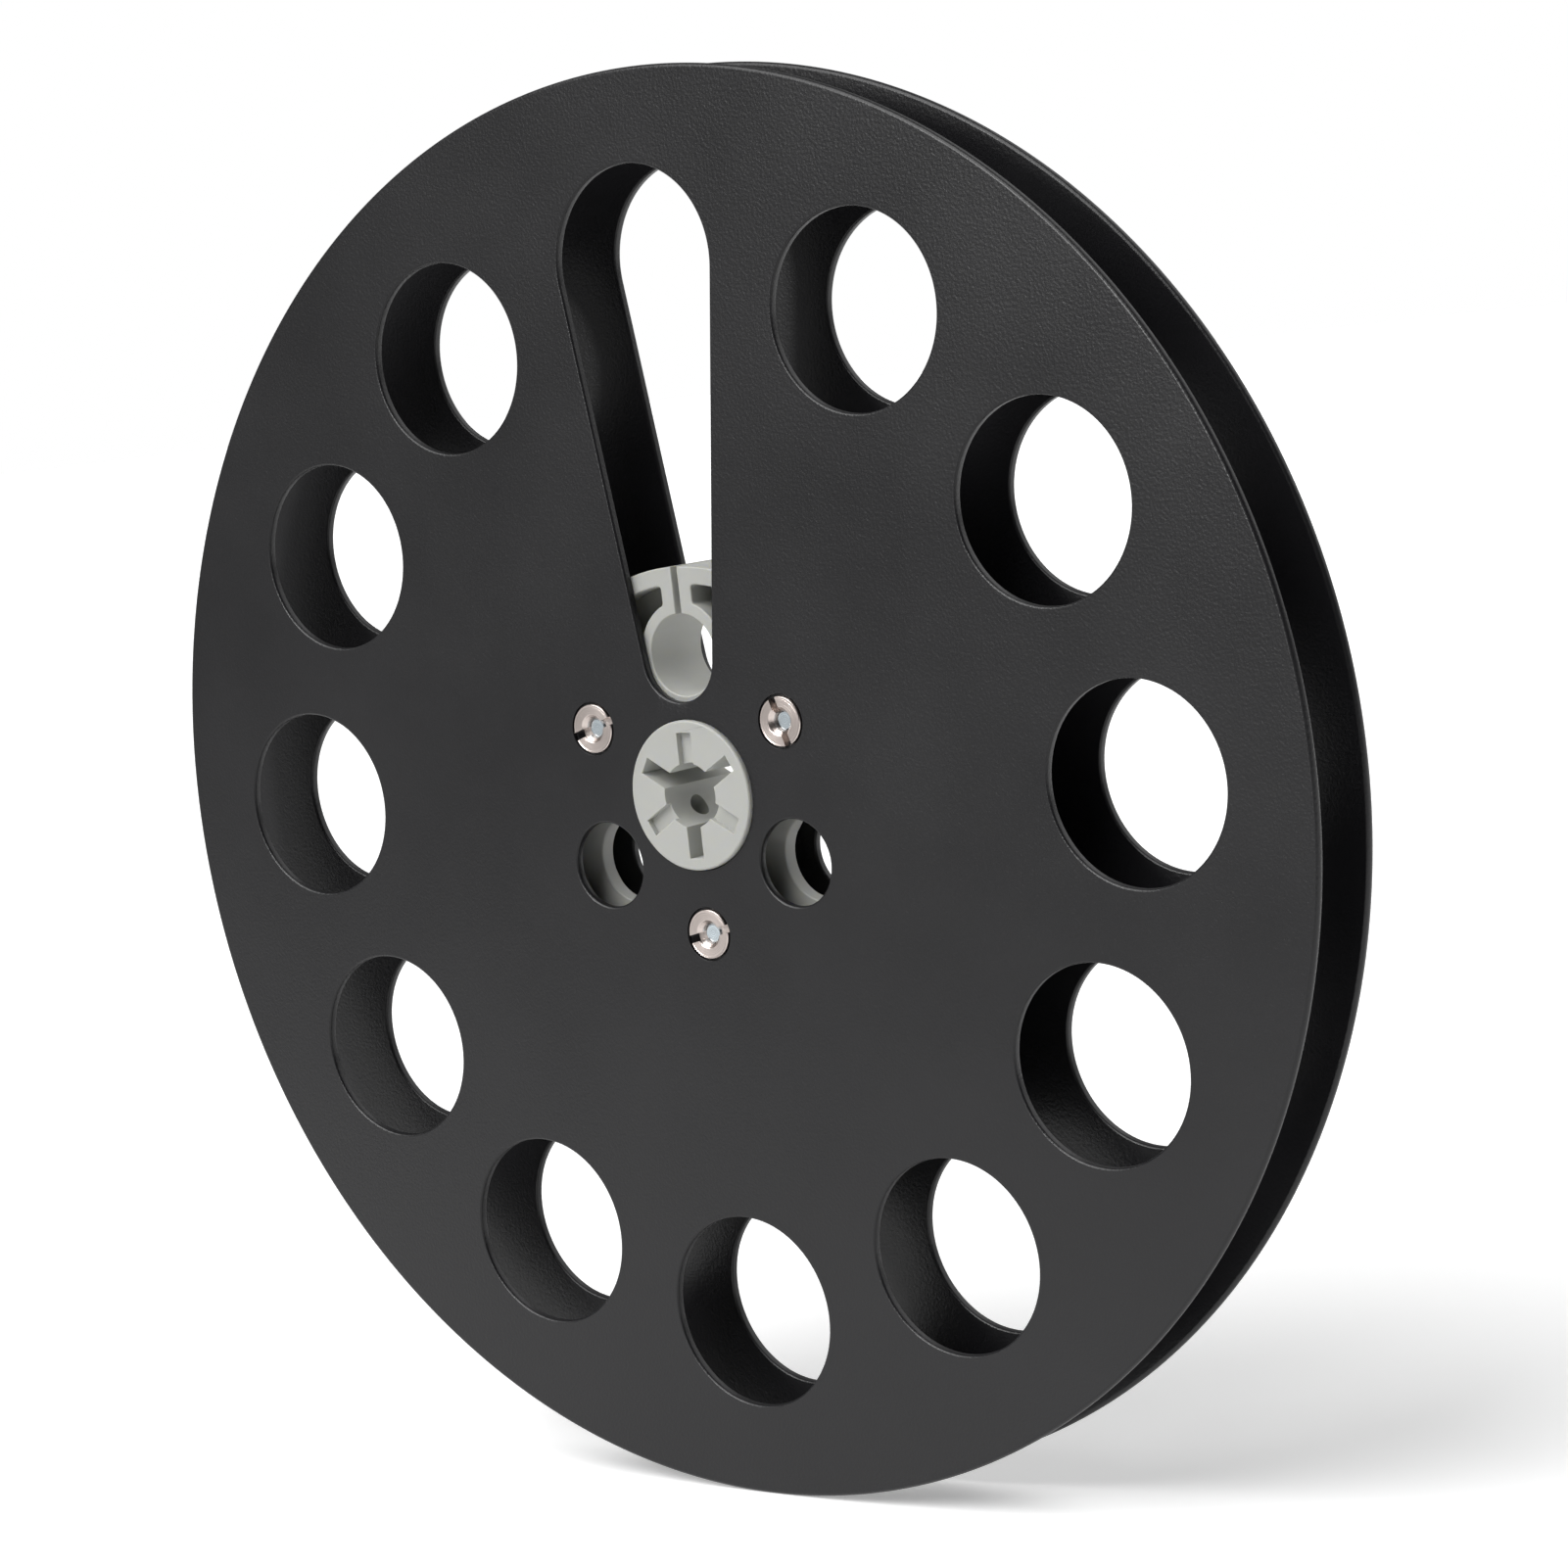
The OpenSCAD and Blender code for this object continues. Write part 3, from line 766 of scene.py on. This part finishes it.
def grain_group():
    """A group that gives the height of a fine blasted or moulded grain."""
    group = bpy.data.node_groups.new("surface grain", "ShaderNodeTree")
    for name, default in (("Fineness", 3000), ("Mottle", 0.3)):
        socket = group.interface.new_socket(name, in_out="INPUT", socket_type="NodeSocketFloat")
        socket.default_value = default
    group.interface.new_socket("Height", in_out="OUTPUT", socket_type="NodeSocketFloat")
    group.interface.new_socket("Cloud", in_out="OUTPUT", socket_type="NodeSocketFloat")
    inputs = add_node(group, "NodeGroupInput", (-800, 0))
    place = add_node(group, "ShaderNodeTexCoord", (-800, -200))
    fine = add_node(group, "ShaderNodeTexNoise", (-500, 100))
    coarse = add_node(group, "ShaderNodeTexNoise", (-500, -150))
    blend = add_node(group, "ShaderNodeMix", (-250, 0), data_type="FLOAT")
    output = add_node(group, "NodeGroupOutput", (0, 0))
    preset(fine, {"Detail": 2})
    preset(coarse, {"Scale": 45, "Detail": 3})
    link(group,
         (place, "Object", fine, "Vector"), (place, "Object", coarse, "Vector"),
         (inputs, "Fineness", fine, "Scale"), (inputs, "Mottle", blend, "Factor"),
         (fine, "Fac", blend, "A"), (coarse, "Fac", blend, "B"),
         (blend, "Result", output, "Height"), (coarse, "Fac", output, "Cloud"))
    return group


def grained(tree, shader, group, shade, spread, fineness, mottle, depth, roughness):
    """Gives a shader the grain's bump, a roughness range and a shade that varies by a spread."""
    grain = add_node(tree, "ShaderNodeGroup", (-900, 0), node_tree=group)
    bump = add_node(tree, "ShaderNodeBump", (-300, -300))
    rough = add_node(tree, "ShaderNodeMapRange", (-600, -100))
    tone = add_node(tree, "ShaderNodeMix", (-600, 200), data_type="RGBA")
    preset(grain, {"Fineness": fineness, "Mottle": mottle})
    preset(bump, {"Distance": depth * MM})
    preset(rough, {"From Min": NOISE_RANGE[0], "From Max": NOISE_RANGE[1],
                   "To Min": roughness[0], "To Max": roughness[1]})
    preset(tone, {"A": (*(shade * (1 - spread)), 1), "B": (*(shade * (1 + spread)), 1)})
    link(tree,
         (grain, "Height", bump, "Height"), (bump, "Normal", shader, "Normal"),
         (grain, "Cloud", rough, "Value"), (rough, "Result", shader, "Roughness"),
         (grain, "Cloud", tone, "Factor"), (tone, "Result", shader, "Base Color"))


def anodised_material(finish, grain):
    """Matte black anodised aluminium with a fine blasted grain."""
    material, tree, shader = new_material("black anodised")
    grained(tree, shader, grain, Vector(finish.plate_colour), spread=0.1, fineness=2600, mottle=0.15,
            depth=0.045, roughness=(0.32, 0.38))
    preset(shader, {"Specular IOR Level": 0.38})
    return material


def plastic_material(finish, grain):
    """Pale moulded plastic, faintly translucent."""
    material, tree, shader = new_material("hub plastic")
    grained(tree, shader, grain, Vector(finish.hub_colour), spread=0.03, fineness=1500, mottle=0.3,
            depth=0.006, roughness=(0.42, 0.5))
    preset(shader, {"Subsurface Weight": 0.3, "Subsurface Radius": (1.0, 0.85, 0.4),
                    "Subsurface Scale": 0.6 * MM})
    return material


def turning_group():
    """A group that gives the height of the fine rings that a lathe leaves."""
    group = bpy.data.node_groups.new("turning marks", "ShaderNodeTree")
    group.interface.new_socket("Vector", in_out="INPUT", socket_type="NodeSocketVector")
    rings = group.interface.new_socket("Rings", in_out="INPUT", socket_type="NodeSocketFloat")
    rings.default_value = 9000
    group.interface.new_socket("Height", in_out="OUTPUT", socket_type="NodeSocketFloat")
    inputs = add_node(group, "NodeGroupInput", (-900, 0))
    flat = add_node(group, "ShaderNodeVectorMath", (-700, 0), operation="MULTIPLY")
    distance = add_node(group, "ShaderNodeVectorMath", (-500, 0), operation="LENGTH")
    scaled = add_node(group, "ShaderNodeMath", (-300, 0), operation="MULTIPLY")
    marks = add_node(group, "ShaderNodeTexNoise", (-100, 0), noise_dimensions="1D")
    output = add_node(group, "NodeGroupOutput", (150, 0))
    preset(flat, {1: (1, 0, 1)})
    preset(marks, {"Scale": 1, "Detail": 2})
    link(group,
         (inputs, "Vector", flat, 0), (flat, "Vector", distance, 0), (distance, "Value", scaled, 0),
         (inputs, "Rings", scaled, 1), (scaled, "Value", marks, "W"), (marks, "Fac", output, "Height"))
    return group


def turned_material(name, shade, group, centre, rings, depth, roughness):
    """Plated metal with turning marks round one fastener's axis."""
    material, tree, shader = new_material(name)
    preset(shader, {"Base Color": (*shade, 1), "Metallic": 1, "Roughness": roughness})
    place = add_node(tree, "ShaderNodeTexCoord", (-1100, -200))
    centred = add_node(tree, "ShaderNodeMapping", (-900, -200))
    marks = add_node(tree, "ShaderNodeGroup", (-650, -200), node_tree=group)
    bump = add_node(tree, "ShaderNodeBump", (-300, -200))
    preset(centred, {"Location": (-centre.x * MM, 0, -centre.y * MM)})
    preset(marks, {"Rings": rings})
    preset(bump, {"Distance": depth * MM})
    link(tree,
         (place, "Object", centred, "Vector"), (centred, "Vector", marks, "Vector"),
         (marks, "Height", bump, "Height"), (bump, "Normal", shader, "Normal"))
    return material


# Operators


def settings():
    """The reel's settings, with lengths in millimetres and the sizes that follow from them."""
    scene = bpy.context.scene
    plates = in_mm(scene.reel_plates)
    hub = in_mm(scene.reel_hub)
    fasteners = in_mm(scene.reel_fasteners)
    hub.rim_inner_r = hub.outside_r - hub.rim_wall
    hub.tube_ring_r = hub.boss_r + hub.tube_gap + hub.tube_bore_r
    hub.clamp_ring_r = fastener_centre("1").length
    hub.body_face = plates.face - plates.thickness
    return plates, hub, fasteners, scene.reel_finish


class REEL_OT_plates(bpy.types.Operator):
    """Builds the front and the rear plate"""
    bl_idname = "reel.plates"
    bl_label = "Plates"

    def execute(self, context):
        plates, hub, f, finish = settings()
        material = anodised_material(finish, shared(grain_group, "surface grain"))
        nut_seat = f.nut_head_r, f.nut_groove_w, f.nut_land - f.nut_rise
        front = plate_shape(plates, hub, finish, nut_seat, plates.face, hub.body_face)
        stand_piece("front_plate", front, "front_flange", material)
        screw_seat = f.screw_head_r, f.screw_groove_w, f.screw_land + f.screw_sink
        rear = plate_shape(plates, hub, finish, screw_seat, -plates.face, -hub.body_face)
        stand_piece("rear_plate", rear, "rear_flange", material)
        return {"FINISHED"}


class REEL_OT_hub(bpy.types.Operator):
    """Builds the moulded hub"""
    bl_idname = "reel.hub"
    bl_label = "Hub"

    def execute(self, context):
        _, hub, _, finish = settings()
        shape = carved(hub_shape(hub, finish.round_steps), side_holes(hub))
        material = plastic_material(finish, shared(grain_group, "surface grain"))
        stand_piece("hub_moulding", shape, "hub", material)
        return {"FINISHED"}


class REEL_OT_fasteners(bpy.types.Operator):
    """Builds the three sleeve nuts and the three clamp screws"""
    bl_idname = "reel.fasteners"
    bl_label = "Fasteners"

    def execute(self, context):
        plates, _, fasteners, finish = settings()
        marks = shared(turning_group, "turning marks")
        for number, slot_turn in zip(PAIRS, NUT_SLOT_TURNS):
            centre = fastener_centre(number)
            nickel = turned_material(f"nickel {number}", finish.nickel_colour, marks, centre,
                                     rings=4500, depth=0.045, roughness=0.28)
            zinc = turned_material(f"zinc {number}", finish.zinc_colour, marks, centre,
                                   rings=5000, depth=0.02, roughness=0.22)
            nut = nut_shape(fasteners, radians(slot_turn))
            nut_place = centre + Vector((0, 0, plates.face + fasteners.nut_rise))
            nut.transform(Matrix.Translation(nut_place))
            stand_piece(f"turned_nut_{number}", nut, f"sleeve_nut_{number}", nickel)
            screw = screw_shape(fasteners)
            screw_place = centre + Vector((0, 0, fasteners.screw_sink - plates.face))
            screw.transform(Matrix.Translation(screw_place) @ Matrix.Rotation(pi, 4, "X"))
            stand_piece(f"cross_screw_{number}", screw, f"clamp_screw_{number}", zinc)
        return {"FINISHED"}


class REEL_OT_stage(bpy.types.Operator):
    """Sets the camera, the soft lights, the white background and the floor"""
    bl_idname = "reel.stage"
    bl_label = "Stage"

    def execute(self, context):
        stage = context.scene.reel_stage
        make_camera(context.scene, stage)
        make_world(context.scene, stage)
        make_lights(context.scene, stage)
        make_floor(context.scene, stage)
        context.scene.view_settings.view_transform = "Standard"
        return {"FINISHED"}


def make_camera(scene, stage):
    """The camera at the photograph's viewing angle."""
    camera = bpy.data.cameras.new("Camera")
    camera.lens = stage.lens
    camera.sensor_width = 36
    camera.clip_start = 0.01
    holder = bpy.data.objects.new("Camera", camera)
    right, up = Vector(stage.camera_right).normalized(), Vector(stage.camera_up).normalized()
    back = right.cross(up).normalized()
    turn = Matrix((right, back.cross(right), back)).transposed()
    holder.matrix_world = Matrix.Translation(stage.camera_place) @ turn.to_4x4()
    scene.collection.objects.link(holder)
    scene.camera = holder


def seen_directly(tree, place):
    """A value that is 1 for camera, glossy and transmission rays and 0 for others, and the ray node."""
    x, y = place
    rays = add_node(tree, "ShaderNodeLightPath", (x - 600, y))
    shiny = add_node(tree, "ShaderNodeMath", (x - 400, y), operation="MAXIMUM")
    seen = add_node(tree, "ShaderNodeMath", (x - 200, y), operation="MAXIMUM")
    link(tree,
         (rays, "Is Glossy Ray", shiny, 0), (rays, "Is Transmission Ray", shiny, 1),
         (shiny, 0, seen, 0), (rays, "Is Camera Ray", seen, 1))
    return seen, rays


def fading(tree, place, output, towards, limits, least):
    """A value that falls from 1 to the least one along a direction, between two limits."""
    x, y = place
    where = add_node(tree, "ShaderNodeTexCoord", (x - 600, y))
    along = add_node(tree, "ShaderNodeVectorMath", (x - 400, y), operation="DOT_PRODUCT")
    fall = add_node(tree, "ShaderNodeMapRange", (x - 200, y), interpolation_type="SMOOTHSTEP")
    preset(along, {1: towards})
    preset(fall, {"From Min": limits[0], "From Max": limits[1], "To Min": 1, "To Max": least})
    link(tree, (where, output, along, 0), (along, "Value", fall, "Value"))
    return fall


def make_world(scene, stage):
    """A surround that is white to the camera and fainter to other rays, most of all on its dim side."""
    world = bpy.data.worlds.new("Studio")
    world.use_nodes = True
    tree = world.node_tree
    tree.nodes.clear()
    seen, rays = seen_directly(tree, (-200, 100))
    dim = fading(tree, (-200, -200), "Generated", stage.dim_direction, STUDIO_FADE, stage.dim_side)
    level = add_node(tree, "ShaderNodeMapRange", (0, 100))
    shaded = add_node(tree, "ShaderNodeMath", (200, 0), operation="MULTIPLY")
    whole = add_node(tree, "ShaderNodeMath", (400, 0), operation="MAXIMUM")
    light = add_node(tree, "ShaderNodeBackground", (600, 0))
    output = add_node(tree, "ShaderNodeOutputWorld", (800, 0))
    preset(light, {"Color": (1, 1, 1, 1)})
    preset(level, {"To Min": stage.ambient, "To Max": stage.shine})
    link(tree,
         (seen, 0, level, "Value"), (level, "Result", shaded, 0), (dim, "Result", shaded, 1),
         (shaded, 0, whole, 0), (rays, "Is Camera Ray", whole, 1), (whole, 0, light, "Strength"),
         (light, 0, output, "Surface"))
    scene.world = world


def make_lights(scene, stage):
    """Soft lamps, so far away that they light the floor evenly, and one that only gloss shows."""
    for name in ("Key", "Back", "Gloss"):
        energy, turn, lift, softness = (getattr(stage, f"{name.lower()}_{part}")
                                        for part in ("strength", "turn", "lift", "softness"))
        lamp = bpy.data.lights.new(name, "SUN")
        lamp.energy = energy
        lamp.angle = softness
        holder = bpy.data.objects.new(name, lamp)
        holder.rotation_euler = Euler((pi / 2 - lift, 0, turn))
        holder.visible_diffuse = name != "Gloss"
        scene.collection.objects.link(holder)


def make_floor(scene, stage):
    """A plain pale floor under the reel's rim, which keeps the reel's shadow.

    The camera sees it pale all over. For other rays it darkens in front of the reel, a painted shade
    like the studio's.
    """
    bm = bmesh.new()
    bmesh.ops.create_grid(bm, x_segments=1, y_segments=1, size=stage.floor_side / 2)
    bm.transform(Matrix.Translation((0, 0, PLATE_LOW.z)))
    mesh = bpy.data.meshes.new("Floor")
    bm.to_mesh(mesh)
    bm.free()
    material, tree, shader = new_material("floor")
    seen, rays = seen_directly(tree, (-400, 200))
    # Painted shade: for rays other than the camera's, the floor's colour darkens in front of the reel
    near = fading(tree, (-400, -100), "Object", TOWARDS_FRONT, FLOOR_FADE, stage.dim_side)
    bright = add_node(tree, "ShaderNodeMath", (-400, 0), operation="MAXIMUM")
    tone = add_node(tree, "ShaderNodeMix", (-200, 0), data_type="RGBA")
    glow = add_node(tree, "ShaderNodeMix", (-200, 200), data_type="RGBA")
    for mix, pale in ((tone, stage.floor_colour), (glow, [stage.floor_glow] * 3)):
        preset(mix, {"A": (0, 0, 0, 1), "B": (*pale, 1)})
    link(tree,
         (rays, "Is Camera Ray", bright, 0), (near, "Result", bright, 1), (bright, 0, tone, "Factor"),
         (tone, "Result", shader, "Base Color"), (seen, 0, glow, "Factor"),
         (glow, "Result", shader, "Emission Color"))
    preset(shader, {"Emission Strength": 1, "Roughness": 0.9, "Specular IOR Level": 0})
    mesh.materials.append(material)
    floor = bpy.data.objects.new("Floor", mesh)
    scene.collection.objects.link(floor)


class REEL_PT_panel(bpy.types.Panel):
    """Lists the reel's pieces in the sidebar"""
    bl_label = "Audio Tape Reel"
    bl_idname = "REEL_PT_panel"
    bl_space_type = "VIEW_3D"
    bl_region_type = "UI"
    bl_category = "Reel"

    def draw(self, context):
        for operator in OPERATORS:
            self.layout.operator(operator.bl_idname)


GROUPS = {"reel_plates": ReelPlates, "reel_hub": ReelHub, "reel_fasteners": ReelFasteners,
          "reel_finish": ReelFinish, "reel_stage": ReelStage}
OPERATORS = (REEL_OT_stage, REEL_OT_plates, REEL_OT_hub, REEL_OT_fasteners)


def register():
    """Registers the settings, the operators and the panel."""
    for cls in (*GROUPS.values(), *OPERATORS, REEL_PT_panel):
        bpy.utils.register_class(cls)
    for name, group in GROUPS.items():
        setattr(bpy.types.Scene, name, PointerProperty(type=group))


def unregister():
    """Removes what register() added."""
    for name in GROUPS:
        delattr(bpy.types.Scene, name)
    for cls in reversed((*GROUPS.values(), *OPERATORS, REEL_PT_panel)):
        bpy.utils.unregister_class(cls)


def main():
    """Builds the reel and its stage."""
    register()
    bpy.ops.reel.stage()
    bpy.ops.reel.plates()
    bpy.ops.reel.hub()
    bpy.ops.reel.fasteners()


if __name__ == "__main__":
    main()
